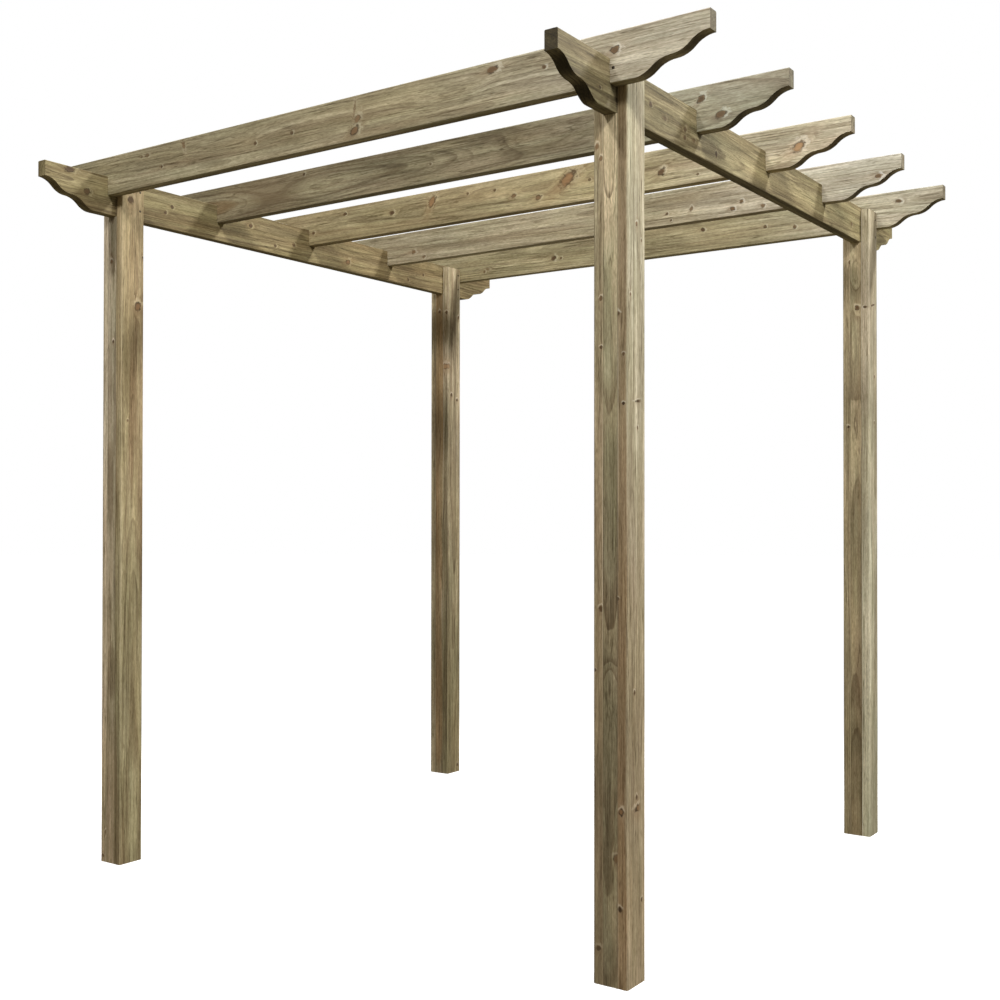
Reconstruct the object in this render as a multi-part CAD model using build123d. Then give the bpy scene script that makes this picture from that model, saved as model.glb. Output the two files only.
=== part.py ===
from build123d import *
import os

# A four-post garden pergola, in millimetres, standing on Z = 0 with its centre on the Z axis.
# The rafters run along X and the beams along Y.
post_spacing = 1770
headroom = 2040
beam_overhang = 270
rafter_overhang = 248
rafter_count = 5

# Square posts, each glued from three layers. The core stops short of the outer two, which rise
# past it as cheeks, so the head has an open slot that takes the beam.
post_width = 90
post_round = 5
cheek_height = 112
slot_clearance = 2

# One planed board section serves the beams and the rafters.
board_height = 120
board_thickness = 34
board_round = 3

# Double ogee on every board end: a plain upper face, then two waves down to the underside.
end_face_height = 46
waist_depth = 84
wave_length = 95

# The rafters drop over the beams by half their height, each board notched by half of that.
drop_share = 0.5
notch_share = 0.5
notch_clearance = 0.5

# How far every cutting block runs past the timber it cuts.
overrun = 10

half_spacing = post_spacing / 2
beam_length = post_spacing + post_width + 2 * beam_overhang
rafter_length = post_spacing + board_thickness + 2 * rafter_overhang
drop = board_height * drop_share
beam_notch = drop * notch_share
rafter_notch = drop - beam_notch
notch_width = board_thickness + 2 * notch_clearance
core_thickness = board_thickness + 2 * slot_clearance
cheek_thickness = (post_width - core_thickness) / 2
rafter_level = headroom + board_height - drop

# The end rafters lie flat against the outer faces of the posts, the others evenly between.
rafter_run = post_spacing + post_width + board_thickness
rafter_step = rafter_run / (rafter_count - 1)
rafter_places = [step * rafter_step - rafter_run / 2 for step in range(rafter_count)]


def wave(high, low):
    middle = (high + low) / 2
    crest = TangentArc(high, middle, tangent=(-1, 0))
    TangentArc(middle, low, tangent=crest % 1)


def board(length):
    tip = Vector(length / 2, board_height - end_face_height)
    waist = Vector(length / 2 - wave_length, board_height - waist_depth)
    toe = Vector(length / 2 - 2 * wave_length, 0)
    with BuildPart() as blank:
        with BuildSketch(Plane.YZ):
            with Locations((0, board_height / 2)):
                RectangleRounded(board_thickness, board_height, board_round)
        extrude(amount=length / 2, both=True)
        with BuildSketch(Plane.XZ):
            with BuildLine():
                Line((0, board_height), (length / 2, board_height))
                Line((length / 2, board_height), tip)
                wave(tip, waist)
                wave(waist, toe)
                Line(toe, (0, 0))
                mirror(about=Plane.YZ)
            make_face()
        extrude(amount=board_thickness / 2 + overrun, both=True, mode=Mode.INTERSECT)
    return blank.part


def notches(places, depth, level, side):
    length, height = board_thickness + 2 * overrun, depth + overrun
    block = Box(notch_width, length, height, align=(Align.CENTER, Align.CENTER, side))
    return [Pos(place, 0, level) * block for place in places]


def cheek():
    with BuildPart() as layer:
        with BuildSketch() as section:
            with Locations(((core_thickness + cheek_thickness) / 2, 0)):
                Rectangle(cheek_thickness, post_width)
            fillet(section.vertices().group_by(Axis.X)[-1], radius=post_round)
        extrude(amount=headroom + cheek_height)
    return layer.part


beam = board(beam_length) - notches(rafter_places, beam_notch, board_height - beam_notch, Align.MIN)
rafter = board(rafter_length) - notches([-half_spacing, half_spacing], rafter_notch, rafter_notch, Align.MAX)
core = Box(core_thickness, post_width, headroom, align=(Align.CENTER, Align.CENTER, Align.MIN))
right_cheek = cheek()
left_cheek = Rot(0, 0, 180) * right_cheek

nodes = {}
for row, y in (("front", -half_spacing), ("back", half_spacing)):
    left_foot = Pos(-half_spacing, y, 0)
    nodes[f"post_{row}_left_outer"] = left_foot * left_cheek
    nodes[f"post_{row}_left_core"] = left_foot * core
    nodes[f"post_{row}_left_inner"] = left_foot * right_cheek
    right_foot = Pos(half_spacing, y, 0)
    nodes[f"post_{row}_right_inner"] = right_foot * left_cheek
    nodes[f"post_{row}_right_core"] = right_foot * core
    nodes[f"post_{row}_right_outer"] = right_foot * right_cheek
for side, x in (("left", -half_spacing), ("right", half_spacing)):
    nodes[f"beam_{side}"] = Pos(x, 0, headroom) * Rot(0, 0, 90) * beam
for number, y in enumerate(rafter_places, start=1):
    nodes[f"rafter_{number}"] = Pos(0, y, rafter_level) * rafter

os.makedirs("parts", exist_ok=True)
for name, shape in nodes.items():
    export_step(shape, f"parts/{name}.step")
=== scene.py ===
import math

import bpy
from mathutils import Euler, Matrix, Vector


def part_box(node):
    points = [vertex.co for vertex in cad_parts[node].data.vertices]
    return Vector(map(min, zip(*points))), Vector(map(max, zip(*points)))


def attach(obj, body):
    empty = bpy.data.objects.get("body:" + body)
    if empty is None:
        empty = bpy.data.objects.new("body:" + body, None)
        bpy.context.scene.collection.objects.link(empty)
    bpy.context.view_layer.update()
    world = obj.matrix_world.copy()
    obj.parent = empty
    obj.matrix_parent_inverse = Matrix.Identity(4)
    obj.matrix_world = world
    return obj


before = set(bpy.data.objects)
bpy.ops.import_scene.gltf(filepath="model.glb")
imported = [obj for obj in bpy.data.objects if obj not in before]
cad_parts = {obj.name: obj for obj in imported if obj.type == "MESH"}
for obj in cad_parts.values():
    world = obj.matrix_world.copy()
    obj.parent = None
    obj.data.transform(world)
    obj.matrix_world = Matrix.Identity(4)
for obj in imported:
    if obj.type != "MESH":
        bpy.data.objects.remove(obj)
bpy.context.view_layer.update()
scene = bpy.context.scene
print("pergola: frame loaded,", len(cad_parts), "pieces of timber")


# small helpers for building node trees
def put(socket, value):
    if isinstance(value, bpy.types.NodeSocket):
        socket.id_data.links.new(value, socket)
    else:
        socket.default_value = value


def calc(tree, operation, *values):
    node = tree.nodes.new("ShaderNodeMath")
    node.operation = operation
    for socket, value in zip(node.inputs, values):
        put(socket, value)
    return node.outputs[0]


def vectorCalc(tree, operation, first, *others):
    node = tree.nodes.new("ShaderNodeVectorMath")
    node.operation = operation
    put(node.inputs[0], first)
    slots = ["Scale"] if operation == "SCALE" else [1, 2]
    for slot, value in zip(slots, others):
        put(node.inputs[slot], value)
    return node.outputs["Value" if operation in ("DOT_PRODUCT", "LENGTH") else "Vector"]


def join(tree, x, y, z):
    node = tree.nodes.new("ShaderNodeCombineXYZ")
    for socket, value in zip(node.inputs, (x, y, z)):
        put(socket, value)
    return node.outputs[0]


def split(tree, vector):
    node = tree.nodes.new("ShaderNodeSeparateXYZ")
    put(node.inputs[0], vector)
    return node.outputs


def noise(tree, place, stretch, detail, rough, output="Fac"):
    node = tree.nodes.new("ShaderNodeTexNoise")
    put(node.inputs["Vector"], vectorCalc(tree, "MULTIPLY", place, stretch))
    put(node.inputs["Scale"], 1.0)
    put(node.inputs["Detail"], detail)
    put(node.inputs["Roughness"], rough)
    return node.outputs[output]


def remap(tree, value, low, high, first=0.0, last=1.0):
    node = tree.nodes.new("ShaderNodeMapRange")
    node.interpolation_type = "SMOOTHSTEP"
    for socket, item in zip(node.inputs, (value, low, high, first, last)):
        put(socket, item)
    return node.outputs[0]


def blend(tree, share, first, second, kind="MIX"):
    node = tree.nodes.new("ShaderNodeMix")
    node.data_type, node.blend_type = "RGBA", kind
    put(node.inputs[0], share)
    put(node.inputs[6], first)      # the colour sockets share their labels, so they go by number
    put(node.inputs[7], second)
    return node.outputs[2]


def bell(tree, value, width):
    scaled = calc(tree, "DIVIDE", value, width)
    return calc(tree, "EXPONENT", calc(tree, "MULTIPLY", calc(tree, "MULTIPLY", scaled, scaled), -1.0))


def newGroup(name, inputs, outputs):
    tree = bpy.data.node_groups.new(name, "ShaderNodeTree")
    for label, kind, value in inputs:
        socket = tree.interface.new_socket(label, in_out="INPUT", socket_type="NodeSocket" + kind)
        socket.default_value = value
    for label, kind in outputs:
        tree.interface.new_socket(label, in_out="OUTPUT", socket_type="NodeSocket" + kind)
    return tree, tree.nodes.new("NodeGroupInput").outputs, tree.nodes.new("NodeGroupOutput").inputs


# a branch running through the board: it shows as a knot wherever a face cuts it
knotFields = ["Bend", "Core", "Dark", "Near", "Warm", "Pale"]
knotShape = {      # spans and widths are counted in radii of the knot
    "uneven": 1.3,      # how far its outline strays from round
    "drawn": 0.42,      # the grain feels the knot further along the board than across it
    "coreSpan": (0.75, 1.1),
    "rimSpan": 0.95, "rimWidth": 0.25, "rimPatch": (-0.1, 0.08), "rimStrength": (0.4, 1.0),
    "pitSpan": (0.5, 1.1), "pitRed": (0.0, 0.8),      # the redder the knot, the paler its middle
    "haloSpan": 1.5, "haloWidth": 0.45, "haloSide": (-0.3, 1.0),
    "nearWidth": 1.5, "bendWidth": 1.35,
    "dead": -0.075, "live": -0.05,      # metres behind the face where the branch ends
}


def makeBranchKnot(shape):
    inputs = [("Grain", "Vector", (0, 0, 0)), ("Wobble", "Float", 0.0), ("Patch", "Float", 0.0),
              ("Place", "Vector", (0, 0, 0)), ("Axis", "Vector", (0, 1, 0)), ("Size", "Float", 0.01),
              ("Stretch", "Float", 1.0), ("Turn", "Float", 0.0),
              ("Black", "Float", 0.5), ("Red", "Float", 0.3)]
    inputs += [(label, "Float", 0.0) for label in knotFields]
    tree, given, result = newGroup("branchKnot", inputs, [(label, "Float") for label in knotFields])

    # how far the point is from the branch, in radii
    away = vectorCalc(tree, "SUBTRACT", given["Grain"], given["Place"])
    deep = vectorCalc(tree, "DOT_PRODUCT", away, given["Axis"])
    flat = vectorCalc(tree, "SUBTRACT", away, vectorCalc(tree, "SCALE", given["Axis"], deep))
    turner = tree.nodes.new("ShaderNodeVectorRotate")
    put(turner.inputs["Vector"], flat)
    put(turner.inputs["Axis"], given["Axis"])
    put(turner.inputs["Angle"], given["Turn"])
    squeeze = join(tree, calc(tree, "DIVIDE", 1.0, given["Stretch"]), 1.0, 1.0)
    squeezed = vectorCalc(tree, "MULTIPLY", turner.outputs[0], squeeze)
    edge = calc(tree, "MULTIPLY_ADD", given["Wobble"], shape["uneven"], 1.0)
    span = calc(tree, "DIVIDE", vectorCalc(tree, "LENGTH", squeezed), given["Size"])
    span = calc(tree, "MULTIPLY", span, edge)
    drawn = vectorCalc(tree, "MULTIPLY", squeezed, (shape["drawn"], 1.0, 1.0))
    flow = calc(tree, "DIVIDE", vectorCalc(tree, "LENGTH", drawn), given["Size"])

    # dark broken rim, dark middle, pale crescent on one side, warm wood all round
    live = remap(tree, deep, shape["dead"], shape["live"])
    black = calc(tree, "MULTIPLY", live, given["Black"])
    broken = remap(tree, given["Patch"], *shape["rimPatch"], *shape["rimStrength"])
    rim = bell(tree, calc(tree, "SUBTRACT", span, shape["rimSpan"]), shape["rimWidth"])
    rim = calc(tree, "MULTIPLY", rim, broken)
    pit = remap(tree, span, *shape["pitSpan"], 1.0, 0.0)
    pit = calc(tree, "MULTIPLY", pit, remap(tree, given["Red"], *shape["pitRed"], 1.0, 0.0))
    lengthwise = calc(tree, "DIVIDE", split(tree, squeezed)[0], given["Size"])
    halo = bell(tree, calc(tree, "SUBTRACT", span, shape["haloSpan"]), shape["haloWidth"])
    halo = calc(tree, "MULTIPLY", halo, remap(tree, lengthwise, *shape["haloSide"]))
    near = calc(tree, "MULTIPLY", bell(tree, flow, shape["nearWidth"]), live)
    made = {
        "Core": calc(tree, "MULTIPLY", remap(tree, span, *shape["coreSpan"], 1.0, 0.0), black),
        "Dark": calc(tree, "MULTIPLY", calc(tree, "MAXIMUM", rim, pit), black),
        "Near": calc(tree, "MULTIPLY", near, given["Black"]),
        "Warm": calc(tree, "MULTIPLY", near, given["Red"]),
        "Pale": calc(tree, "MULTIPLY", halo, black),
    }
    for label, value in made.items():
        put(result[label], calc(tree, "MAXIMUM", given[label], value))
    pull = calc(tree, "MULTIPLY", given["Size"], live)
    bulge = bell(tree, flow, shape["bendWidth"])
    put(result["Bend"], calc(tree, "MULTIPLY_ADD", pull, bulge, given["Bend"]))
    return tree


# planed, pressure-treated softwood: rings round a wandering pith, streaks, fibres, stains;
# a pair holds the values between which an effect sets in or fades, and where there are four numbers,
# the last two are its strength at either end
timberFinish = {
    "earlywood": (0.470, 0.385, 0.222, 1),
    "latewood": (0.165, 0.116, 0.056, 1),
    "treatedGreen": (0.285, 0.268, 0.150, 1),
    "brownStreak": (0.235, 0.157, 0.080, 1),
    "heartwood": (0.300, 0.185, 0.078, 1),
    "redHeart": (0.380, 0.250, 0.128, 1),
    "knotCore": (0.165, 0.092, 0.040, 1),
    "redKnot": (0.340, 0.175, 0.070, 1),
    "knotDark": (0.026, 0.016, 0.007, 1),
    "paleHalo": (0.680, 0.590, 0.390, 1),
    "wander": 0.040,      # metres that the pith wanders along the board
    "ripple": 0.012,      # metres that the rings wave by
    "unevenRings": 2.4,      # rings that a run of narrow years gains
    "lateRise": (0.45, 0.9), "lateEnd": (0.94, 1.0),      # shares of one ring
    "lateLuck": 0.75,      # how far the darkness of each ring is left to chance
    "wideYears": (0.36, 0.64), "yearDark": 0.88, "yearRise": 0.24, "yearBrown": 0.5,
    "pithSpace": 0.004,      # metres, keeps the swerve round a knot finite at the pith
    "deepening": (1.0, 1.07, 1.22),      # dark grain is browner, pale grain greyer
    "cast": (0.15, 0.03, 0.2),      # how far red, green and blue drift from place to place
    "greenStain": (0.38, 0.6), "brownBand": (0.46, 0.66),
    "heartEdge": 0.004, "heartStrength": 0.7,
    "fibreDark": 0.65, "fibreRise": 0.7,
    "hairWidth": 0.026, "hairPatch": (0.42, 0.58, 0.08, 0.5),
    "thinWidth": 0.04, "thinPatch": (0.4, 0.6, 0.06, 0.26),
    # crackDark is the painted shade inside a split
    "crackWidth": 0.007, "crackPatch": (0.5, 0.6), "crackDark": 0.7, "crackDepth": 2.5,
    "glueLine": (0.0004, 0.0016), "glueDark": 0.5,      # metres from the layer's long edges
    "wornEdge": (0.0008, 0.0035), "wornPatch": (0.4, 0.65, 0.1, 0.5),
    "knotBrown": 0.35, "knotWarm": 0.7, "knotPale": 0.6, "knotCover": 0.9,
    "split": 0.2, "cut": 0.5,      # for boards that don't say how split and how dark at the ends they are
    "cutFacing": (0.05, 0.6), "underFacing": (-0.2, -0.7),      # end grain, undersides (undersides are left out of the far tint, as painted shade)
    "roughness": 0.66, "lateSmooth": 0.12, "fibreRough": 0.16, "knotSmooth": 0.14, "specular": 0.32,
    "lateHeight": 0.5, "fibreHeight": 0.7, "knotHeight": 0.5, "bump": 0.45, "bumpDepth": 0.0006,
}

# noise patterns, most of them finer across the board than along it; the shift keeps two patterns apart
grainPatterns = {
    "stroll": {"stretch": (1.4, 1, 1), "detail": 2.0, "rough": 0.5},
    "ripple": {"stretch": (2.2, 13, 13), "detail": 3.0, "rough": 0.5},
    "uneven": {"stretch": (75, 1, 1), "detail": 2.0, "rough": 0.6},
    "slow": {"stretch": (1.2, 40, 40), "detail": 3.0, "rough": 0.6},
    "grit": {"stretch": (70, 420, 420), "detail": 2.0, "rough": 0.6, "shift": (2, 6, 9)},
    "streak": {"stretch": (7, 170, 170), "detail": 3.0, "rough": 0.6},
    "mottle": {"stretch": (11, 34, 34), "detail": 3.0, "rough": 0.65},
    "stain": {"stretch": (2.2, 10, 10), "detail": 3.0, "rough": 0.5},
    "band": {"stretch": (0.9, 24, 24), "detail": 2.0, "rough": 0.5, "shift": (9, 4, 2)},
    "cast": {"stretch": (3.2, 26, 26), "detail": 3.0, "rough": 0.6, "shift": (3, 8, 5)},
    "fibre": {"stretch": (20, 560, 560), "detail": 2.0, "rough": 0.65},
    "dash": {"stretch": (24, 270, 270), "detail": 1.0, "rough": 0.5},
    "hair": {"stretch": (1.5, 62, 62), "detail": 2.0, "rough": 0.5, "shift": (5, 2, 7)},
    "thin": {"stretch": (2.6, 115, 115), "detail": 1.0, "rough": 0.5, "shift": (8, 1, 3)},
    "crack": {"stretch": (1.9, 40, 40), "detail": 1.0, "rough": 0.5},
    "wobble": {"stretch": (90, 140, 140), "detail": 2.0, "rough": 0.5},
    "patch": {"stretch": (60, 80, 80), "detail": 1.0, "rough": 0.5, "shift": (4, 7, 1)},
}

# the noise values between which a pattern goes from its first shade to its last
grainTones = {
    "slow": (0.25, 0.75, 0.88, 1.12),
    "streak": (0.28, 0.72, 0.91, 1.09),
    "mottle": (0.28, 0.72, 0.87, 1.13),
    "stain": (0.3, 0.7, 1.08, 0.92),
    "grit": (0.32, 0.68, 0.86, 1.14),
    "dash": (0.24, 0.36, 0.6, 1.0),
}
noiseMiddle = 0.5


def pattern(tree, name, place, output="Fac"):
    spec = grainPatterns[name]
    if "shift" in spec:
        place = vectorCalc(tree, "ADD", place, spec["shift"])
    return noise(tree, place, spec["stretch"], spec["detail"], spec["rough"], output)


def swing(tree, name, place):
    return calc(tree, "SUBTRACT", pattern(tree, name, place), noiseMiddle)


def makeSawnTimber(finish):
    inputs = [("Grain", "Vector", (0, 0, 0)), ("Seed", "Vector", (0, 0, 0)), ("Pith", "Vector", (0, 0, 0)),
              ("Lean", "Vector", (0, 0, 0)), ("Ring", "Float", 0.006), ("Half", "Vector", (1, 1, 1)),
              ("From", "Float", -1.0), ("To", "Float", 1.0), ("Tint", "Color", (1, 1, 1, 1)),
              ("Far Tint", "Color", (1, 1, 1, 1)), ("Green", "Float", 0.4), ("Brown", "Float", 0.4),
              ("Contrast", "Float", 0.8), ("Heart", "Float", 0.0), ("Split", "Float", 0.0),
              ("Cut", "Float", 0.0), ("Glue", "Float", 0.0), ("Under", "Float", 0.0)]
    inputs += [(label, "Float", 0.0) for label in knotFields]
    tree, given, result = newGroup("sawnTimber", inputs,
                                   [("Color", "Color"), ("Roughness", "Float"), ("Height", "Float")])
    middle = (noiseMiddle, noiseMiddle, noiseMiddle)
    along = split(tree, given["Grain"])[0]
    place = vectorCalc(tree, "ADD", given["Grain"], given["Seed"])

    # growth rings of uneven width, with runs of darker and lighter years
    line = vectorCalc(tree, "ADD", join(tree, along, 0.0, 0.0), given["Seed"])
    stroll = vectorCalc(tree, "SUBTRACT", pattern(tree, "stroll", line, "Color"), middle)
    pith = vectorCalc(tree, "ADD", given["Pith"], vectorCalc(tree, "SCALE", given["Lean"], along))
    pith = vectorCalc(tree, "ADD", pith, vectorCalc(tree, "SCALE", stroll, finish["wander"]))
    outward = vectorCalc(tree, "MULTIPLY", vectorCalc(tree, "SUBTRACT", given["Grain"], pith), (0, 1, 1))
    reach = vectorCalc(tree, "LENGTH", outward)
    radius = calc(tree, "ADD", reach, given["Bend"])
    radius = calc(tree, "MULTIPLY_ADD", swing(tree, "ripple", place), finish["ripple"], radius)
    uneven = vectorCalc(tree, "ADD", join(tree, radius, 0.0, 0.0), given["Seed"])
    uneven = pattern(tree, "uneven", uneven)
    rings = calc(tree, "DIVIDE", radius, given["Ring"])
    rings = calc(tree, "MULTIPLY_ADD", uneven, finish["unevenRings"], rings)
    part = calc(tree, "FRACT", rings)
    luck = tree.nodes.new("ShaderNodeTexWhiteNoise")
    luck.noise_dimensions = "1D"
    put(luck.inputs["W"], calc(tree, "FLOOR", rings))
    late = remap(tree, part, *finish["lateEnd"], 1.0, 0.0)
    late = calc(tree, "MULTIPLY", remap(tree, part, *finish["lateRise"]), late)
    depth = calc(tree, "MULTIPLY_ADD", luck.outputs["Value"], finish["lateLuck"], 1 - finish["lateLuck"])
    late = calc(tree, "MULTIPLY", late, depth)
    years = remap(tree, uneven, *finish["wideYears"])

    # the grain swerves round knots, and so do the streaks, brown bands, fibres and dark dashes
    swerve = calc(tree, "DIVIDE", given["Bend"], calc(tree, "ADD", reach, finish["pithSpace"]))
    bent = vectorCalc(tree, "ADD", place, vectorCalc(tree, "SCALE", outward, swerve))
    swerving = ("slow", "grit", "streak", "mottle", "band", "fibre", "dash")
    seen = {name: pattern(tree, name, bent) for name in swerving}
    seen["stain"] = pattern(tree, "stain", place)
    hair = bell(tree, swing(tree, "hair", bent), finish["hairWidth"])
    hair = calc(tree, "MULTIPLY", hair, remap(tree, seen["mottle"], *finish["hairPatch"]))
    thin = bell(tree, swing(tree, "thin", bent), finish["thinWidth"])
    thin = calc(tree, "MULTIPLY", thin, remap(tree, seen["stain"], *finish["thinPatch"]))

    # early and late wood, green treatment, brown bands, heartwood
    treated = calc(tree, "MULTIPLY", remap(tree, seen["stain"], *finish["greenStain"]), given["Green"])
    wood = blend(tree, treated, finish["earlywood"], finish["treatedGreen"])
    wood = blend(tree, calc(tree, "MULTIPLY", late, given["Contrast"]), wood, finish["latewood"])
    brown = calc(tree, "MULTIPLY_ADD", years, -finish["yearBrown"], finish["yearBrown"])
    brown = calc(tree, "MAXIMUM", remap(tree, seen["band"], *finish["brownBand"]), brown)
    wood = blend(tree, calc(tree, "MULTIPLY", brown, given["Brown"]), wood, finish["brownStreak"])
    heart = calc(tree, "SUBTRACT", radius, given["Heart"])
    heart = remap(tree, heart, -finish["heartEdge"], finish["heartEdge"], finish["heartStrength"], 0.0)
    wood = blend(tree, heart, wood, finish["heartwood"])
    drift = vectorCalc(tree, "SUBTRACT", pattern(tree, "cast", bent, "Color"), middle)
    drift = vectorCalc(tree, "MULTIPLY_ADD", drift, finish["cast"], (1, 1, 1))
    wood = blend(tree, 1.0, wood, drift, "MULTIPLY")

    # shades of the grain, glue lines, and drying splits whose darkness is painted shade
    inset = vectorCalc(tree, "SUBTRACT", given["Half"], vectorCalc(tree, "ABSOLUTE", given["Grain"]))
    inset = split(tree, inset)
    arris = calc(tree, "MAXIMUM", inset[1], inset[2])
    glued = calc(tree, "MULTIPLY", remap(tree, arris, *finish["glueLine"], 1.0, 0.0), given["Glue"])
    # the darkness along a drying split is painted shade in its gap; the bump also sinks the split
    crack = bell(tree, swing(tree, "crack", place), finish["crackWidth"])
    crack = calc(tree, "MULTIPLY", crack, remap(tree, seen["band"], *finish["crackPatch"]))
    crack = calc(tree, "MULTIPLY", crack, given["Split"])
    tones = {name: remap(tree, seen[name], *tone) for name, tone in grainTones.items()}
    tones["years"] = calc(tree, "MULTIPLY_ADD", years, finish["yearRise"], finish["yearDark"])
    tones["fibre"] = calc(tree, "MULTIPLY_ADD", seen["fibre"], finish["fibreRise"], finish["fibreDark"])
    tones["hair"] = calc(tree, "SUBTRACT", 1.0, hair)
    tones["thin"] = calc(tree, "SUBTRACT", 1.0, thin)
    tones["glue"] = calc(tree, "MULTIPLY_ADD", glued, -finish["glueDark"], 1.0)
    tones["crack"] = calc(tree, "MULTIPLY_ADD", crack, -finish["crackDark"], 1.0)
    shade = 1.0
    for tone in tones.values():
        shade = calc(tree, "MULTIPLY", shade, tone)
    shades = [calc(tree, "POWER", shade, power) for power in finish["deepening"]]
    wood = blend(tree, 1.0, wood, join(tree, *shades), "MULTIPLY")

    # knots, worn edges
    for field, strength, colour in (("Near", "knotBrown", "brownStreak"), ("Warm", "knotWarm", "redHeart"),
                                    ("Pale", "knotPale", "paleHalo")):
        wood = blend(tree, calc(tree, "MULTIPLY", given[field], finish[strength]), wood, finish[colour])
    core = blend(tree, given["Warm"], finish["knotCore"], finish["redKnot"])
    core = blend(tree, 1.0, core, join(tree, *[tones["streak"]] * 3), "MULTIPLY")
    wood = blend(tree, calc(tree, "MULTIPLY", given["Core"], finish["knotCover"]), wood, core)
    wood = blend(tree, calc(tree, "MULTIPLY", given["Dark"], finish["knotCover"]), wood, finish["knotDark"])
    worn = remap(tree, arris, *finish["wornEdge"], 1.0, 0.0)
    worn = calc(tree, "MULTIPLY", worn, remap(tree, seen["slow"], *finish["wornPatch"]))
    worn = calc(tree, "MULTIPLY", worn, calc(tree, "SUBTRACT", 1.0, given["Glue"]))
    wood = blend(tree, worn, wood, finish["paleHalo"])

    # end grain is darker; the tint of the far end is partly painted light and spares undersides, so that they
    # keep painted shade, and a knot keeps its own hue
    cut = calc(tree, "SUBTRACT", 1.0, given["Cut"])
    cuts = [calc(tree, "POWER", cut, power) for power in finish["deepening"]]
    wood = blend(tree, 1.0, wood, join(tree, *cuts), "MULTIPLY")
    share = remap(tree, along, given["From"], given["To"])
    share = calc(tree, "MULTIPLY", share, calc(tree, "SUBTRACT", 1.0, given["Under"]))
    tint = blend(tree, share, given["Tint"], given["Far Tint"])
    level = split(tree, tint)[0]
    tint = blend(tree, given["Core"], tint, join(tree, level, level, level))
    put(result["Color"], blend(tree, 1.0, wood, tint, "MULTIPLY"))

    # late wood and knots are smoother and stand a little proud, and splits are sunk
    rough = calc(tree, "MULTIPLY_ADD", late, -finish["lateSmooth"], finish["roughness"])
    rough = calc(tree, "MULTIPLY_ADD", seen["fibre"], finish["fibreRough"], rough)
    put(result["Roughness"], calc(tree, "MULTIPLY_ADD", given["Core"], -finish["knotSmooth"], rough))
    height = calc(tree, "MULTIPLY", seen["fibre"], finish["fibreHeight"])
    height = calc(tree, "MULTIPLY_ADD", late, finish["lateHeight"], height)
    height = calc(tree, "MULTIPLY_ADD", given["Core"], finish["knotHeight"], height)
    put(result["Height"], calc(tree, "MULTIPLY_ADD", crack, -finish["crackDepth"], height))
    return tree


branchKnot = makeBranchKnot(knotShape)
sawnTimber = makeSawnTimber(timberFinish)
print("pergola: wood node groups built")


# one material for each piece of timber; X of its grain runs along the piece
quarter = math.radians(90)
faces = {"front": (0, -1, 0), "back": (0, 1, 0), "left": (-1, 0, 0), "right": (1, 0, 0)}
lyings = {      # the span, in metres along the grain, is where the tint goes over into the far tint; the tints hold painted light and shade as well as the board's own tone
    "rafter": {"turn": (0, 0, 0), "axis": (1, 0, 0), "span": (0.3, 1.1)},
    "beam": {"turn": (0, 0, quarter), "axis": (0, 1, 0), "span": (-1.0, 1.0)},
    "post": {"turn": (0, -quarter, 0), "axis": (0, 0, 1), "span": (0.2, 1.9)},
}
millimetre = 0.001
noiseStart = Vector((0, 5, 11))      # each board is cut from its own place in the noise
noiseStep = Vector((1.7, 3.1, 0.7))


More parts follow.
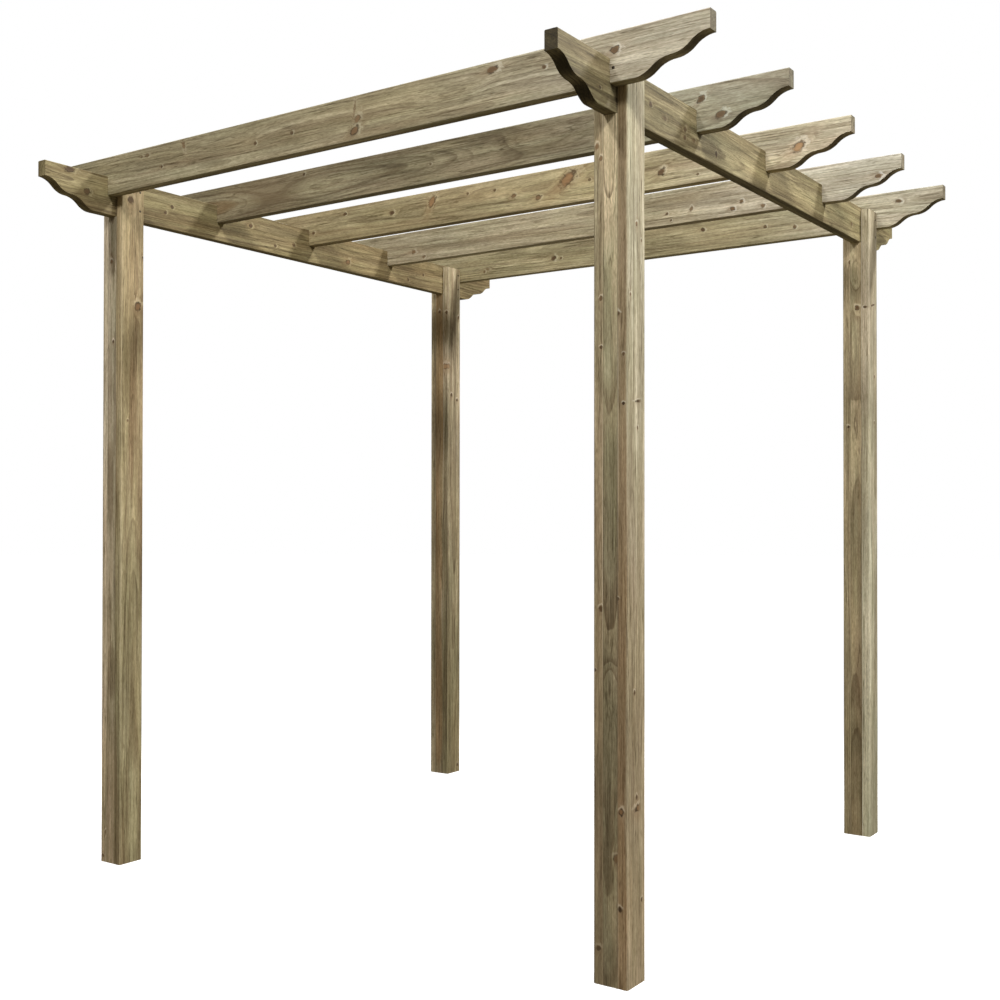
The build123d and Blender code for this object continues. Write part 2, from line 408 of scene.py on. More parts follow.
def dress(node, lying, spec, knots, centre):
    low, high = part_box(node)
    lie = lyings[lying]
    inward = Euler(lie["turn"]).to_matrix().inverted()
    half = inward @ ((high - low) / 2)
    endless = 5.0      # a half length that keeps the ends out of the worn edges
    material = bpy.data.materials.new(node + "_timber")
    material.use_nodes = True
    tree = material.node_tree
    tree.nodes.clear()
    mapping = tree.nodes.new("ShaderNodeMapping")
    mapping.vector_type = "TEXTURE"
    put(mapping.inputs["Vector"], tree.nodes.new("ShaderNodeTexCoord").outputs["Object"])
    put(mapping.inputs["Location"], centre)
    put(mapping.inputs["Rotation"], lie["turn"])
    grain = mapping.outputs[0]
    wobble = swing(tree, "wobble", grain)
    patch = swing(tree, "patch", grain)
    fields = {}
    for place, outward, size, stretch, tilt, black, red in knots:
        knot = tree.nodes.new("ShaderNodeGroup")
        knot.node_tree = branchKnot
        given = {"Grain": grain, "Wobble": wobble, "Patch": patch, "Place": inward @ (place - centre),
                 "Axis": inward @ outward, "Size": size, "Stretch": stretch, "Turn": tilt,
                 "Black": black, "Red": red}
        for label, value in {**given, **fields}.items():
            put(knot.inputs[label], value)
        fields = {label: knot.outputs[label] for label in knotFields}
    wood = tree.nodes.new("ShaderNodeGroup")
    wood.node_tree = sawnTimber
    normal = tree.nodes.new("ShaderNodeNewGeometry").outputs["Normal"]
    facing = calc(tree, "ABSOLUTE", vectorCalc(tree, "DOT_PRODUCT", normal, lie["axis"]))
    darkEnds = spec.get("cut", timberFinish["cut"])
    given = {"Grain": grain, "Seed": noiseStart + noiseStep * spec["seed"],
             "Pith": Vector((0, *spec["pith"])) * millimetre, "Lean": Vector((0, *spec["lean"])) * millimetre,
             "Ring": spec["ring"] * millimetre, "Heart": spec.get("heart", 0) * millimetre,
             "Half": (endless, abs(half.y), abs(half.z)), "From": lie["span"][0], "To": lie["span"][1],
             "Tint": (*spec["tint"], 1), "Far Tint": (*spec["farTint"], 1),
             "Green": spec["green"], "Brown": spec["brown"], "Contrast": spec["contrast"],
             "Split": spec.get("split", timberFinish["split"]), "Glue": spec.get("glue", 0.0),
             "Under": remap(tree, split(tree, normal)[2], *timberFinish["underFacing"]),
             "Cut": remap(tree, facing, *timberFinish["cutFacing"], 0.0, darkEnds)}
    for label, value in {**given, **fields}.items():
        put(wood.inputs[label], value)
    bump = tree.nodes.new("ShaderNodeBump")
    put(bump.inputs["Strength"], timberFinish["bump"])
    put(bump.inputs["Distance"], timberFinish["bumpDepth"])
    put(bump.inputs["Height"], wood.outputs["Height"])
    shader = tree.nodes.new("ShaderNodeBsdfPrincipled")
    put(shader.inputs["Base Color"], wood.outputs["Color"])
    put(shader.inputs["Roughness"], wood.outputs["Roughness"])
    put(shader.inputs["Specular IOR Level"], timberFinish["specular"])
    put(shader.inputs["Normal"], bump.outputs[0])
    put(tree.nodes.new("ShaderNodeOutputMaterial").inputs["Surface"], shader.outputs[0])
    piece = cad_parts[node]
    piece.data.materials.clear()
    piece.data.materials.append(material)


# branches leave the trunk askew, each in its own way
slants = {"along": 0.3, "alongTurn": 2.4, "upward": 0.25, "upwardTurn": 1.7}


def branch(place, face, size, stretch, tilt, black, red, index):
    lift = math.sin(index * slants["alongTurn"]) * slants["along"]
    lean = math.cos(index * slants["upwardTurn"]) * slants["upward"]
    outward = Vector(faces[face])
    slant = Vector((lift * abs(outward.y), lift * abs(outward.x), lean))
    axis = (outward + slant).normalized()
    return (Vector(place), axis, size * millimetre, stretch, math.radians(-tilt), black, red)


# rafters: pith, lean per metre, ring and heart are in millimetres; tint is for the left end, the front end
# or the foot of a piece, and farTint for the other end, both partly the board's own tone and partly painted
# light and shade, as on the paler rafter stubs; a knot is on the front face and reads (along X, above the
# middle, radius, stretch, tilt in degrees, black, red); without black it only bends the grain and warms it by
# its red
rafter1 = {
    "seed": 1, "pith": (42, -34), "lean": (9, -14), "ring": 7.8,
    "tint": (1.0, 1.05, 1.1), "farTint": (1.35, 1.5, 1.95),
    "green": 0.2, "brown": 0.5, "contrast": 0.5, "cut": 0.7,
    "knots": [
        (915, 15, 8, 1.3, 20, 0.9, 0.3), (575, 40, 8, 1.9, 10, 0.9, 0.4),
        (135, -35, 10, 1.5, 30, 0.8, 0.5), (145, -5, 7, 1.8, 60, 0.6, 0.5),
        (135, 25, 4, 4.5, 80, 0.35, 0.3), (725, 15, 4, 1.3, 0, 0.8, 0.2),
        (-685, 35, 5, 1.6, 10, 0.45, 0.3), (-710, 35, 4, 1.4, 0, 0.4, 0.2),
        (-525, 40, 6, 2.4, -70, 0.45, 0.4), (-230, -5, 4, 1.3, 0, 0.8, 0.3),
        (-90, 0, 4, 1.3, 0, 0.7, 0.2), (-620, -10, 3, 1.3, 0, 0.8, 0.2), (450, 0, 20, 2.6, 0, 0, 0),
        (-350, 10, 18, 2.8, 0, 0, 0),
    ],
}
rafter2 = {
    "seed": 2, "pith": (-70, 0), "lean": (-50, 10), "ring": 8.7, "heart": 30,
    "tint": (0.75, 0.8, 0.85), "farTint": (1.1, 1.3, 1.65),
    "green": 0.15, "brown": 0.5, "contrast": 0.75, "cut": 0.6,
    "knots": [
        (915, 25, 7, 1.6, 40, 0.8, 0.2), (970, -25, 8, 1.8, 10, 0.8, 0.3),
        (-470, 45, 4, 1.3, 0, 0.8, 0.2), (40, -5, 3, 1.3, 0, 0.6, 0.2), (-640, 0, 30, 2.0, 0, 0, 0.6),
        (420, 10, 22, 2.6, 0, 0, 0),
    ],
}
rafter3 = {
    "seed": 3, "pith": (48, 12), "lean": (-16, 8), "ring": 8.2,
    "tint": (1.0, 1.0, 0.95), "farTint": (1.35, 1.45, 1.8),
    "green": 0.2, "brown": 0.4, "contrast": 0.55, "cut": 0.6,
    "knots": [
        (-845, -15, 5, 1.3, 0, 0.8, 0.3), (-695, 35, 5, 1.4, 0, 0.9, 0.3),
        (-475, 10, 7, 1.3, 0, 0.95, 0.3), (-300, 25, 11, 2.0, 65, 0.75, 0.95),
        (-150, 30, 4, 1.3, 0, 0.7, 0.3), (-40, 25, 4, 1.3, 0, 0.8, 0.3), (35, -5, 6, 1.3, 20, 0.8, 0.5),
        (130, -25, 7, 1.5, 10, 0.8, 0.5), (240, 20, 16, 1.9, 35, 0.75, 1.0),
        (320, 5, 4, 1.3, 0, 0.7, 0.3), (570, -10, 9, 1.4, 40, 0.9, 0.3), (690, -35, 3, 1.2, 0, 0.7, 0.2),
        (1000, -5, 12, 1.5, 35, 0.75, 0.8),
    ],
}
rafter4 = {
    "seed": 4, "pith": (-60, 25), "lean": (12, -18), "ring": 7.6,
    "tint": (1.05, 1.1, 1.25), "farTint": (1.5, 1.7, 2.35),
    "green": 0.1, "brown": 0.35, "contrast": 0.4, "cut": 0.6,
    "knots": [
        (-735, -20, 7, 1.4, 0, 0.7, 0.4), (-685, -45, 5, 1.3, 0, 0.6, 0.3),
        (360, -20, 4, 1.3, 0, 0.8, 0.2), (375, -45, 3, 1.2, 0, 0.8, 0.2),
        (450, -15, 5, 1.5, 60, 0.6, 0.3), (600, -35, 6, 1.3, 0, 0.9, 0.4),
        (630, -15, 5, 1.3, 30, 0.9, 0.3), (705, -40, 5, 1.2, 0, 0.7, 0.3), (1080, 0, 7, 1.4, 0, 0.8, 0.2),
    ],
}
rafter5 = {
    "seed": 5, "pith": (44, 40), "lean": (-10, -12), "ring": 7.4,
    "tint": (1.0, 1.05, 1.05), "farTint": (1.25, 1.4, 1.8),
    "green": 0.1, "brown": 0.35, "contrast": 0.5, "cut": 0.6,
    "knots": [
        (-715, -30, 5, 1.3, 0, 0.7, 0.3), (-700, -20, 6, 1.5, 0, 0.4, 0.3),
        (-375, -10, 8, 1.3, 0, 0.95, 0.3), (-340, -15, 4, 1.3, 0, 0.8, 0.3),
        (280, 20, 6, 1.3, 0, 0.95, 0.3), (525, 0, 5, 1.3, 0, 0.8, 0.3), (635, -15, 5, 1.3, 0, 0.8, 0.3),
        (1005, 25, 6, 1.4, 0, 0.8, 0.2),
    ],
}

for number, spec in enumerate((rafter1, rafter2, rafter3, rafter4, rafter5), start=1):
    name = f"rafter_{number}"
    low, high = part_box(name)
    centre = (low + high) / 2
    knots = [branch((x * millimetre, low.y, centre.z + up * millimetre), "front", *knot, index)
             for index, (x, up, *knot) in enumerate(spec["knots"])]
    dress(name, "rafter", spec, knots, centre)
print("pergola: rafters dressed")


# beams: a knot is (along Y, above the middle, radius, stretch, tilt, black, red), on the right-hand face
beamRight = {
    "seed": 6, "pith": (50, -15), "lean": (14, 9), "ring": 8.2,
    "tint": (0.5, 0.5, 0.45), "farTint": (0.8, 0.8, 0.7),
    "green": 0.4, "brown": 0.35, "contrast": 0.7, "cut": 0.7,
    "knots": [
        (-1010, -20, 3, 1.2, 0, 0.9, 0.1), (-755, 5, 5, 1.4, 20, 0.7, 0.3),
        (-675, -10, 5, 1.4, 0, 0.5, 0.3), (-560, -10, 6, 1.3, 30, 0.7, 0.4),
        (-560, -30, 5, 1.3, 0, 0.7, 0.4), (-505, -25, 5, 1.4, 0, 0.5, 0.4),
        (-365, -30, 5, 1.6, 80, 0.9, 0.3), (750, -15, 5, 1.3, 0, 0.7, 0.3),
    ],
}
beamLeft = {
    "seed": 7, "pith": (-50, 30), "lean": (-12, 10), "ring": 7.8,
    "tint": (0.75, 0.75, 0.65), "farTint": (0.8, 0.75, 0.65),
    "green": 0.3, "brown": 0.55, "contrast": 0.75, "cut": 0.2,
    "knots": [
        (-1110, 50, 8, 2.2, 10, 0.8, 0.3), (-1045, -5, 8, 1.4, 20, 0.7, 0.4),
        (-725, -10, 5, 1.3, 0, 0.8, 0.3), (-695, 15, 5, 1.3, 0, 0.8, 0.3),
        (-325, 20, 6, 1.3, 0, 0.9, 0.4), (-200, -30, 5, 1.3, 0, 0.8, 0.3),
        (-100, -10, 5, 1.3, 0, 0.8, 0.4), (210, -25, 8, 1.6, 20, 0.8, 0.7),
        (595, -35, 5, 1.3, 0, 0.7, 0.3), (700, 0, 5, 1.3, 0, 0.7, 0.3),
    ],
}

for side, spec in (("right", beamRight), ("left", beamLeft)):
    name = f"beam_{side}"
    low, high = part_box(name)
    centre = (low + high) / 2
    knots = [branch((high.x, y * millimetre, centre.z + up * millimetre), "right", *knot, index)
             for index, (y, up, *knot) in enumerate(spec["knots"])]
    dress(name, "beam", spec, knots, centre)
print("pergola: beams dressed")


# posts: three glued layers; a knot is (face, off the middle, height, radius, stretch, tilt, black, red)
postFrontRight = {
    "outer": {"seed": 11, "pith": (-58, 6), "lean": (2, 2), "ring": 8.2,
              "tint": (1.1, 1.05, 1.1), "farTint": (1.05, 1.15, 1.35),
              "green": 0.15, "brown": 0.25, "contrast": 0.55, "split": 0.5, "heart": 24},
    "core": {"seed": 12, "pith": (45, 2), "lean": (-38, 1), "ring": 9.2,
             "tint": (0.95, 0.9, 0.9), "farTint": (1.35, 1.35, 1.45),
             "green": 0.7, "brown": 0.2, "contrast": 0.9, "split": 0.3, "glue": 1.0},
    "inner": {"seed": 13, "pith": (30, -60), "lean": (-5, 6), "ring": 7.6,
              "tint": (0.95, 0.9, 0.9), "farTint": (1.35, 1.35, 1.45),
              "green": 0.4, "brown": 0.5, "contrast": 0.6, "split": 0.4},
    "knots": [
        ("front", -35, 1970, 5, 1.3, 0, 0.8, 0.4), ("front", -25, 1940, 4, 1.3, 0, 0.8, 0.4),
        ("front", -25, 1610, 4, 1.3, 0, 0.8, 0.3), ("front", 20, 1570, 4, 1.3, 0, 1.0, 0.2),
        ("front", -25, 1495, 3, 1.2, 0, 0.9, 0.2), ("front", 35, 1360, 3, 1.2, 0, 1.0, 0.1),
        ("front", 35, 1475, 3, 1.2, 0, 0.7, 0.2), ("front", -25, 880, 5, 1.3, 0, 0.9, 0.3),
        ("front", 20, 905, 3, 1.2, 0, 0.8, 0.2), ("front", -40, 735, 3, 1.2, 0, 0.7, 0.2),
        ("front", 28, 410, 6, 1.3, 0, 0.9, 0.6), ("front", 15, 300, 6, 1.6, 0, 0.7, 0.5),
        ("front", 25, 185, 5, 1.3, 0, 1.0, 0.2), ("front", -30, 85, 5, 1.2, 0, 0.7, 0.2),
        ("right", -30, 1615, 3, 1.3, 0, 0.7, 0.3), ("right", 5, 1305, 3, 1.3, 0, 0.7, 0.3),
        ("right", 0, 1785, 4, 1.3, 0, 0.8, 0.4), ("right", 25, 1750, 3, 1.3, 0, 0.7, 0.3),
        ("right", 0, 440, 4, 1.3, 0, 0.8, 0.2), ("right", 25, 195, 4, 1.3, 0, 0.8, 0.2),
        ("right", -10, 685, 4, 1.3, 0, 0.8, 0.2), ("front", 0, 1745, 14, 2.2, 0, 0, 0),
        ("front", 0, 700, 14, 2.4, 0, 0, 0),
    ],
}
postFrontLeft = {
    "outer": {"seed": 21, "pith": (25, -58), "lean": (6, 5), "ring": 7.8,
              "tint": (1.45, 1.4, 1.5), "farTint": (1.5, 1.5, 1.8),
              "green": 0.3, "brown": 0.35, "contrast": 0.65, "split": 0.4},
    "core": {"seed": 22, "pith": (30, -4), "lean": (-12, 3), "ring": 8.4,
             "tint": (1.45, 1.4, 1.5), "farTint": (1.5, 1.5, 1.8),
             "green": 0.5, "brown": 0.35, "contrast": 0.75, "split": 0.3, "glue": 1.0},
    "inner": {"seed": 23, "pith": (5, 50), "lean": (-3, 14), "ring": 8.2,
              "tint": (1.1, 1.15, 1.1), "farTint": (1.1, 1.05, 1.0),
              "green": 0.15, "brown": 0.8, "contrast": 0.65, "split": 0.4},
    "knots": [
        ("front", 5, 1645, 4, 1.3, 0, 1.0, 0.1), ("front", -5, 1900, 5, 1.3, 0, 0.8, 0.4),
        ("front", -20, 95, 5, 1.3, 0, 0.7, 0.3), ("front", -35, 20, 4, 1.2, 0, 0.7, 0.3),
        ("right", 20, 1760, 11, 1.2, 0, 0.95, 0.6), ("right", -10, 2095, 10, 1.2, 0, 0.8, 0.3),
        ("right", 40, 1920, 3, 1.2, 0, 0.9, 0.1), ("right", -20, 1395, 3, 1.3, 0, 0.6, 0.3),
    ],
}
postBackLeft = {
    "outer": {"seed": 31, "pith": (-25, -55), "lean": (6, 5), "ring": 7.6,
              "tint": (1.3, 1.3, 1.4), "farTint": (1.25, 1.25, 1.35),
              "green": 0.3, "brown": 0.55, "contrast": 0.7, "split": 0.4},
    "core": {"seed": 32, "pith": (-70, 4), "lean": (8, 3), "ring": 8.2,
             "tint": (1.3, 1.3, 1.4), "farTint": (1.25, 1.25, 1.35),
             "green": 0.4, "brown": 0.5, "contrast": 0.75, "split": 0.3, "glue": 1.0, "heart": 30},
    "inner": {"seed": 33, "pith": (-8, 50), "lean": (4, -12), "ring": 8.2,
              "tint": (0.9, 0.9, 0.85), "farTint": (1.25, 1.25, 1.4),
              "green": 0.3, "brown": 0.5, "contrast": 0.75, "split": 0.4},
    "knots": [
        ("front", 0, 1965, 5, 1.3, 0, 0.8, 0.3), ("front", 35, 1960, 5, 1.3, 0, 0.9, 0.3),
        ("right", 30, 1945, 5, 1.3, 0, 0.9, 0.3), ("right", -40, 1730, 6, 1.8, 0, 0.6, 0.8),
        ("right", -20, 1610, 5, 1.3, 0, 1.0, 0.2), ("right", 20, 1590, 5, 1.3, 0, 1.0, 0.2),
        ("right", 25, 30, 5, 1.3, 0, 0.7, 0.3),
    ],
}
postBackRight = {
    "outer": {"seed": 41, "pith": (15, 58), "lean": (5, -6), "ring": 7.8,
              "tint": (1.4, 1.55, 1.8), "farTint": (1.1, 1.15, 1.35),
              "green": 0.3, "brown": 0.2, "contrast": 0.5, "split": 0.5},
    "core": {"seed": 42, "pith": (10, -3), "lean": (16, 2), "ring": 9.2,
             "tint": (0.85, 0.8, 0.75), "farTint": (1.2, 1.2, 1.25),
             "green": 0.4, "brown": 0.4, "contrast": 0.85, "split": 0.3, "glue": 1.0},
    "inner": {"seed": 43, "pith": (-20, -58), "lean": (-5, 6), "ring": 7.6,
              "tint": (0.85, 0.8, 0.75), "farTint": (1.2, 1.2, 1.25),
              "green": 0.25, "brown": 0.3, "contrast": 0.55, "split": 0.4},
    "knots": [
        ("front", -20, 1975, 5, 1.3, 0, 0.8, 0.3), ("front", 5, 1815, 6, 1.3, 0, 0.9, 0.3),
        ("front", 32, 1815, 3, 2.2, 80, 0.9, 0.2), ("front", -25, 1405, 4, 1.3, 0, 1.0, 0.1),
        ("right", 15, 1580, 4, 1.3, 0, 0.7, 0.3), ("right", 10, 1420, 4, 1.3, 0, 0.7, 0.3),
        ("front", 0, 1930, 12, 2.4, 0, 0, 0), ("front", 0, 1410, 12, 2.4, 0, 0, 0),
    ],
}

for corner, spec in (("front_right", postFrontRight), ("front_left", postFrontLeft),
                     ("back_left", postBackLeft), ("back_right", postBackRight)):
    coreLow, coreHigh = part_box(f"post_{corner}_core")
    middle = (coreLow + coreHigh) / 2
    for layer in ("outer", "core", "inner"):
        name = f"post_{corner}_{layer}"
        low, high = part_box(name)
        knots = []
        for index, (face, off, up, *knot) in enumerate(spec["knots"]):
            if face == "front":
                spot = Vector((middle.x + off * millimetre, low.y, up * millimetre))
                inLayer = low.x <= spot.x < high.x
            else:
                spot = Vector((high.x, middle.y + off * millimetre, up * millimetre))
                inLayer = low.x > middle.x
            if inLayer:
                knots.append(branch(spot, face, *knot, index))
        dress(name, "post", spec[layer], knots, Vector(((low.x + high.x) / 2, middle.y, 0)))
print("pergola: posts dressed")


# countersunk screws, set by geometry nodes
screws = {
    "headWidth": 0.0092, "headProud": 0.0006, "headSides": 28, "headBands": 2, "topShare": 0.72,
    "sunkShare": 2.0,      # sunk below the face by twice what stands proud
    "recessWidth": 0.0046, "recessBar": 0.0013, "recessDepth": 0.0012,
    "twistSeed": 5, "mostTwist": 3.1,      # radians
    "postOff": 0.028, "postHeights": (2.125, 2.065),
    "postFaces": {"front_left": "right", "back_left": "right", "back_right": "right", "front_right": "left"},
    "rafterSpots": ((0.911, 2.135), (-0.911, 2.135)),
    "zinc": (0.105, 0.095, 0.080, 1), "rust": (0.060, 0.034, 0.020, 1),
    "rustGrain": 420, "rustDetail": 3.0, "rustRough": 0.5, "rustPatch": (0.42, 0.66),
    "metallic": 0.75, "roughness": 0.42, "rustRoughness": 0.35,
}


def screwPlaces(spec):
    places = []
    for corner, face in spec["postFaces"].items():
        layer = "outer" if face == corner.split("_")[1] else "inner"
        low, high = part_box(f"post_{corner}_{layer}")
        x = high.x if face == "right" else low.x
        y = (low.y + high.y) / 2
        places += [((x, y + spec["postOff"], z), faces[face]) for z in spec["postHeights"]]
    for name, face in (("rafter_1", "front"), ("rafter_5", "back")):
        low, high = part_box(name)
        y = low.y if face == "front" else high.y
        places += [((x, y, z), faces[face]) for x, z in spec["rafterSpots"]]
    return places


def makeScrewTree(spec, material):
    tree = bpy.data.node_groups.new("screwHeads", "GeometryNodeTree")
    tree.interface.new_socket("Places", in_out="INPUT", socket_type="NodeSocketGeometry")
    lengths = {"Head Width": "headWidth", "Head Proud": "headProud", "Recess Width": "recessWidth",
               "Recess Bar": "recessBar", "Recess Depth": "recessDepth"}
    for label, key in lengths.items():
        socket = tree.interface.new_socket(label, in_out="INPUT", socket_type="NodeSocketFloat")
        socket.default_value = spec[key]
    tree.interface.new_socket("Twist Seed", in_out="INPUT", socket_type="NodeSocketInt")
    tree.interface.new_socket("Screws", in_out="OUTPUT", socket_type="NodeSocketGeometry")
    given = tree.nodes.new("NodeGroupInput").outputs
    result = tree.nodes.new("NodeGroupOutput").inputs

    head = tree.nodes.new("GeometryNodeMeshCone")
    put(head.inputs["Vertices"], spec["headSides"])
    put(head.inputs["Side Segments"], spec["headBands"])
    radius = calc(tree, "MULTIPLY", given["Head Width"], 0.5)
    put(head.inputs["Radius Bottom"], radius)
    put(head.inputs["Radius Top"], calc(tree, "MULTIPLY", radius, spec["topShare"]))
    put(head.inputs["Depth"], calc(tree, "MULTIPLY", given["Head Proud"], 1 + spec["sunkShare"]))
    sunk = tree.nodes.new("GeometryNodeTransform")
    put(sunk.inputs["Geometry"], head.outputs["Mesh"])
    sink = calc(tree, "MULTIPLY", given["Head Proud"], -spec["sunkShare"])
    put(sunk.inputs["Translation"], join(tree, 0.0, 0.0, sink))
    bars = []
    for wide, narrow in (("Recess Width", "Recess Bar"), ("Recess Bar", "Recess Width")):
        bar = tree.nodes.new("GeometryNodeMeshCube")
        put(bar.inputs["Size"], join(tree, given[wide], given[narrow], given["Recess Depth"]))
        lift = tree.nodes.new("GeometryNodeTransform")
        put(lift.inputs["Geometry"], bar.outputs["Mesh"])
        put(lift.inputs["Translation"], join(tree, 0.0, 0.0, given["Head Proud"]))
        bars.append(lift.outputs["Geometry"])
    driven = tree.nodes.new("GeometryNodeMeshBoolean")
    driven.operation = "DIFFERENCE"
    put(driven.inputs["Mesh 1"], sunk.outputs["Geometry"])
    for bar in bars:
        tree.links.new(bar, driven.inputs["Mesh 2"])

    facing = tree.nodes.new("GeometryNodeInputNamedAttribute")
    facing.data_type = "FLOAT_VECTOR"
    put(facing.inputs["Name"], "facing")
    align = tree.nodes.new("FunctionNodeAlignRotationToVector")
    align.axis = "Z"
    put(align.inputs["Vector"], facing.outputs["Attribute"])
    twist = tree.nodes.new("FunctionNodeRandomValue")
    twist.data_type = "FLOAT"
    put(twist.inputs[3], spec["mostTwist"])      # the largest of the float range
    put(twist.inputs["Seed"], given["Twist Seed"])
    spin = tree.nodes.new("FunctionNodeAxisAngleToRotation")
    put(spin.inputs["Axis"], (0, 0, 1))
    put(spin.inputs["Angle"], twist.outputs[1])
    turned = tree.nodes.new("FunctionNodeRotateRotation")
    turned.rotation_space = "LOCAL"
    put(turned.inputs["Rotation"], align.outputs["Rotation"])
    put(turned.inputs["Rotate By"], spin.outputs["Rotation"])
    points = tree.nodes.new("GeometryNodeMeshToPoints")
    put(points.inputs["Mesh"], given["Places"])
    copies = tree.nodes.new("GeometryNodeInstanceOnPoints")
    put(copies.inputs["Points"], points.outputs["Points"])
    put(copies.inputs["Instance"], driven.outputs["Mesh"])
    put(copies.inputs["Rotation"], turned.outputs["Rotation"])
    real = tree.nodes.new("GeometryNodeRealizeInstances")
    put(real.inputs["Geometry"], copies.outputs["Instances"])
    finish = tree.nodes.new("GeometryNodeSetMaterial")
    put(finish.inputs["Geometry"], real.outputs["Geometry"])
    put(finish.inputs["Material"], material)
    put(result["Screws"], finish.outputs["Geometry"])
    return tree


def makeScrewMetal(spec):
    material = bpy.data.materials.new("weathered_zinc")
    material.use_nodes = True
    tree = material.node_tree
    shader = tree.nodes["Principled BSDF"]
    place = tree.nodes.new("ShaderNodeTexCoord").outputs["Object"]
    specks = noise(tree, place, (spec["rustGrain"],) * 3, spec["rustDetail"], spec["rustRough"])
    rust = remap(tree, specks, *spec["rustPatch"])
    put(shader.inputs["Base Color"], blend(tree, rust, spec["zinc"], spec["rust"]))
    put(shader.inputs["Metallic"], spec["metallic"])
    roughness = calc(tree, "MULTIPLY_ADD", rust, spec["rustRoughness"], spec["roughness"])
    put(shader.inputs["Roughness"], roughness)
    return material


places = screwPlaces(screws)
spots = bpy.data.meshes.new("screwSpots")
spots.from_pydata([place for place, facing in places], [], [])
facingData = spots.attributes.new("facing", "FLOAT_VECTOR", "POINT")
for item, (place, facing) in zip(facingData.data, places):
    item.vector = facing
screwSpots = bpy.data.objects.new("screw_spots", spots)
scene.collection.objects.link(screwSpots)
screwTree = makeScrewTree(screws, makeScrewMetal(screws))
modifier = screwSpots.modifiers.new("screwHeads", "NODES")
modifier.node_group = screwTree
for socket in screwTree.interface.items_tree:
    if socket.in_out == "INPUT" and socket.name == "Twist Seed":
        modifier[socket.identifier] = screws["twistSeed"]
made = screwSpots.evaluated_get(bpy.context.evaluated_depsgraph_get())
screwMesh = bpy.data.meshes.new_from_object(made)
screwMesh.name = "screws"
bpy.data.objects.remove(screwSpots)
screwHeads = bpy.data.objects.new("screws", screwMesh)
scene.collection.objects.link(screwHeads)
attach(screwHeads, "root")
print("pergola:", len(places), "screws driven,", len(screwMesh.polygons), "faces")


# pale floor that fades into the white surroundings
floor = {"radius": 30.0, "sides": 96, "tone": 0.8, "glow": 0.7, "white": 1.05, "fadeFrom": 1.4, "fadeTo": 3.2}


def makeFloor(spec):
    mesh = bpy.data.meshes.new("floor")
    angles = [2 * math.pi * step / spec["sides"] for step in range(spec["sides"])]
    ring = [(spec["radius"] * math.cos(angle), spec["radius"] * math.sin(angle), 0) for angle in angles]
    mesh.from_pydata(ring, [], [list(range(spec["sides"]))])
    piece = bpy.data.objects.new("floor", mesh)
    scene.collection.objects.link(piece)
    material = bpy.data.materials.new("pale_floor")
    material.use_nodes = True
    tree = material.node_tree
    tree.nodes.clear()
    place = tree.nodes.new("ShaderNodeTexCoord").outputs["Object"]
    fade = remap(tree, vectorCalc(tree, "LENGTH", place), spec["fadeFrom"], spec["fadeTo"])
    matt = tree.nodes.new("ShaderNodeBsdfDiffuse")
    put(matt.inputs["Color"], (spec["tone"], spec["tone"], spec["tone"], 1))
    glow = tree.nodes.new("ShaderNodeEmission")      # keeps the floor near white under the soft shadows
    put(glow.inputs["Strength"], spec["glow"])
    lit = tree.nodes.new("ShaderNodeAddShader")
    put(lit.inputs[0], matt.outputs[0])
    put(lit.inputs[1], glow.outputs[0])
    white = tree.nodes.new("ShaderNodeEmission")
    put(white.inputs["Strength"], spec["white"])
    mixed = tree.nodes.new("ShaderNodeMixShader")
    put(mixed.inputs[0], fade)
    put(mixed.inputs[1], lit.outputs[0])
    put(mixed.inputs[2], white.outputs[0])
    put(tree.nodes.new("ShaderNodeOutputMaterial").inputs["Surface"], mixed.outputs[0])
    mesh.materials.append(material)
    piece.visible_diffuse = False      # the floor sends no light up under the boards
    piece.visible_glossy = False


makeFloor(floor)


# studio: white surroundings, a soft sky and six lamps
studio = {
    "sky": 0.14, "ground": 0.17, "groundTone": (1.0, 0.88, 0.62, 1), "skyTone": (1, 1, 1, 1), "horizon": 0.1,
    "lamps": {
        "front": {"place": (-0.87, -4.92, 6.0), "size": 0.8, "watts": 165},
        "frontRight": {"place": (4.0, -3.2, 5.0), "size": 0.8, "watts": 164},
        "nearRight": {"place": (2.72, -1.27, 3.1), "size": 0.6, "watts": 18},
        "backRight": {"place": (3.0, 1.9, 5.2), "size": 0.6, "watts": 205},
        "lowRight": {"place": (4.9, 0.0, 2.4), "size": 0.8, "watts": 20},
        "backLeft": {"place": (-3.6, 3.8, 4.0), "size": 1.8, "watts": 190},
    },
    "aim": (0, 0, 1.8),
}


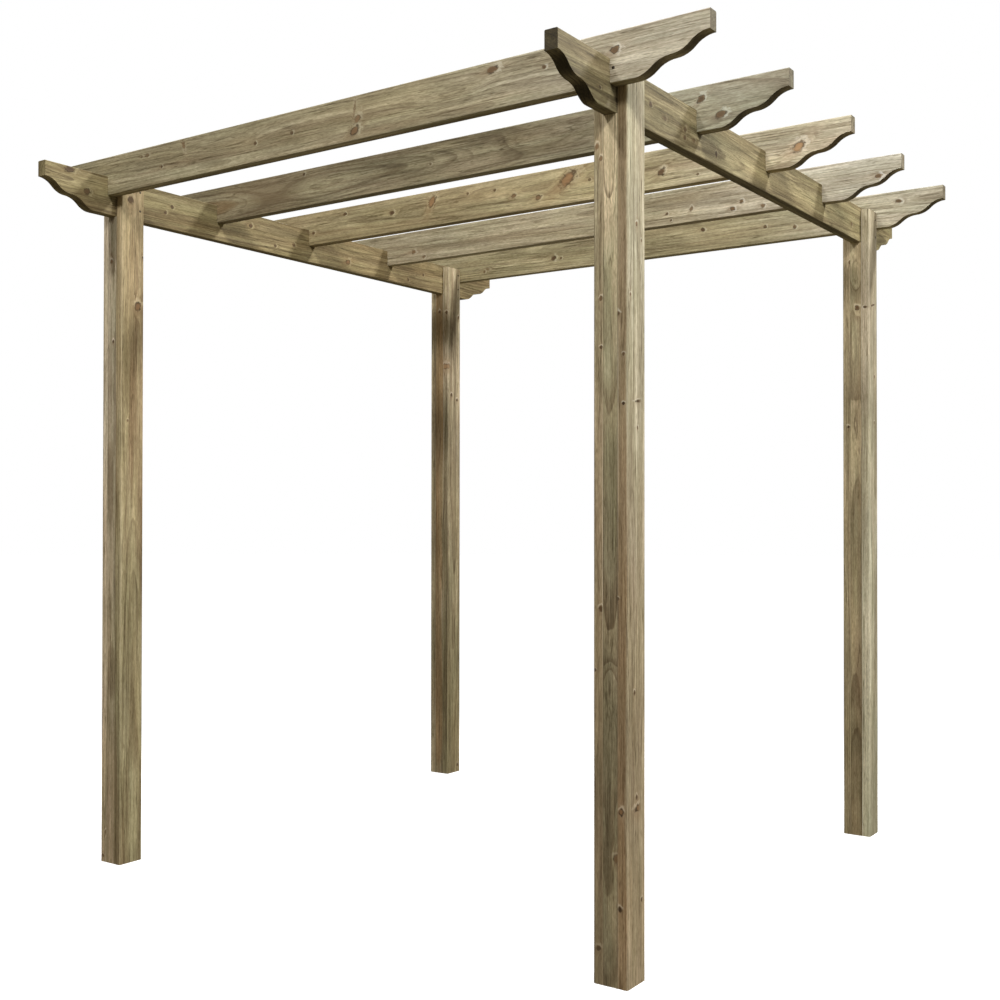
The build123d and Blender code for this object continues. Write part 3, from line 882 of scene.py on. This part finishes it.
def makeStudio(spec):
    world = bpy.data.worlds.new("studio")
    scene.world = world
    world.use_nodes = True
    tree = world.node_tree
    tree.nodes.clear()
    upward = split(tree, tree.nodes.new("ShaderNodeTexCoord").outputs["Generated"])[2]
    light = tree.nodes.new("ShaderNodeBackground")
    height = remap(tree, upward, -spec["horizon"], spec["horizon"])
    strength = calc(tree, "MULTIPLY_ADD", height, spec["sky"] - spec["ground"], spec["ground"])
    put(light.inputs["Strength"], strength)
    put(light.inputs["Color"], blend(tree, height, spec["groundTone"], spec["skyTone"]))
    white = tree.nodes.new("ShaderNodeBackground")
    put(white.inputs["Color"], spec["skyTone"])
    seen = tree.nodes.new("ShaderNodeMixShader")
    put(seen.inputs[0], tree.nodes.new("ShaderNodeLightPath").outputs["Is Camera Ray"])
    put(seen.inputs[1], light.outputs[0])
    put(seen.inputs[2], white.outputs[0])
    put(tree.nodes.new("ShaderNodeOutputWorld").inputs["Surface"], seen.outputs[0])
    for name, lamp in spec["lamps"].items():
        data = bpy.data.lights.new(name, "AREA")
        data.shape, data.size, data.energy = "DISK", lamp["size"], lamp["watts"]
        holder = bpy.data.objects.new(name, data)
        holder.location = lamp["place"]
        aim = Vector(spec["aim"]) - Vector(lamp["place"])
        holder.rotation_euler = aim.to_track_quat("-Z", "Y").to_euler()
        holder.visible_camera = False
        scene.collection.objects.link(holder)
    scene.view_settings.view_transform = "Standard"


makeStudio(studio)


# camera at the photograph's viewpoint
view = {
    "place": (2.3230, -3.6058, 1.1023),
    "right": (0.8031, 0.5958, 0.0016), "forward": (-0.5958, 0.8031, 0.0106),
    "lens": 46.27, "sensor": 36.0, "shift": 0.0776,
}


def makeCamera(spec):
    data = bpy.data.cameras.new("camera")
    data.sensor_width, data.lens, data.shift_x = spec["sensor"], spec["lens"], spec["shift"]
    holder = bpy.data.objects.new("camera", data)
    right, forward = Vector(spec["right"]), Vector(spec["forward"])
    up = right.cross(forward)
    turn = Matrix((right, up, -forward)).transposed().to_4x4()
    holder.matrix_world = Matrix.Translation(spec["place"]) @ turn
    scene.collection.objects.link(holder)
    scene.camera = holder


makeCamera(view)
print("pergola: floor, studio and camera ready")
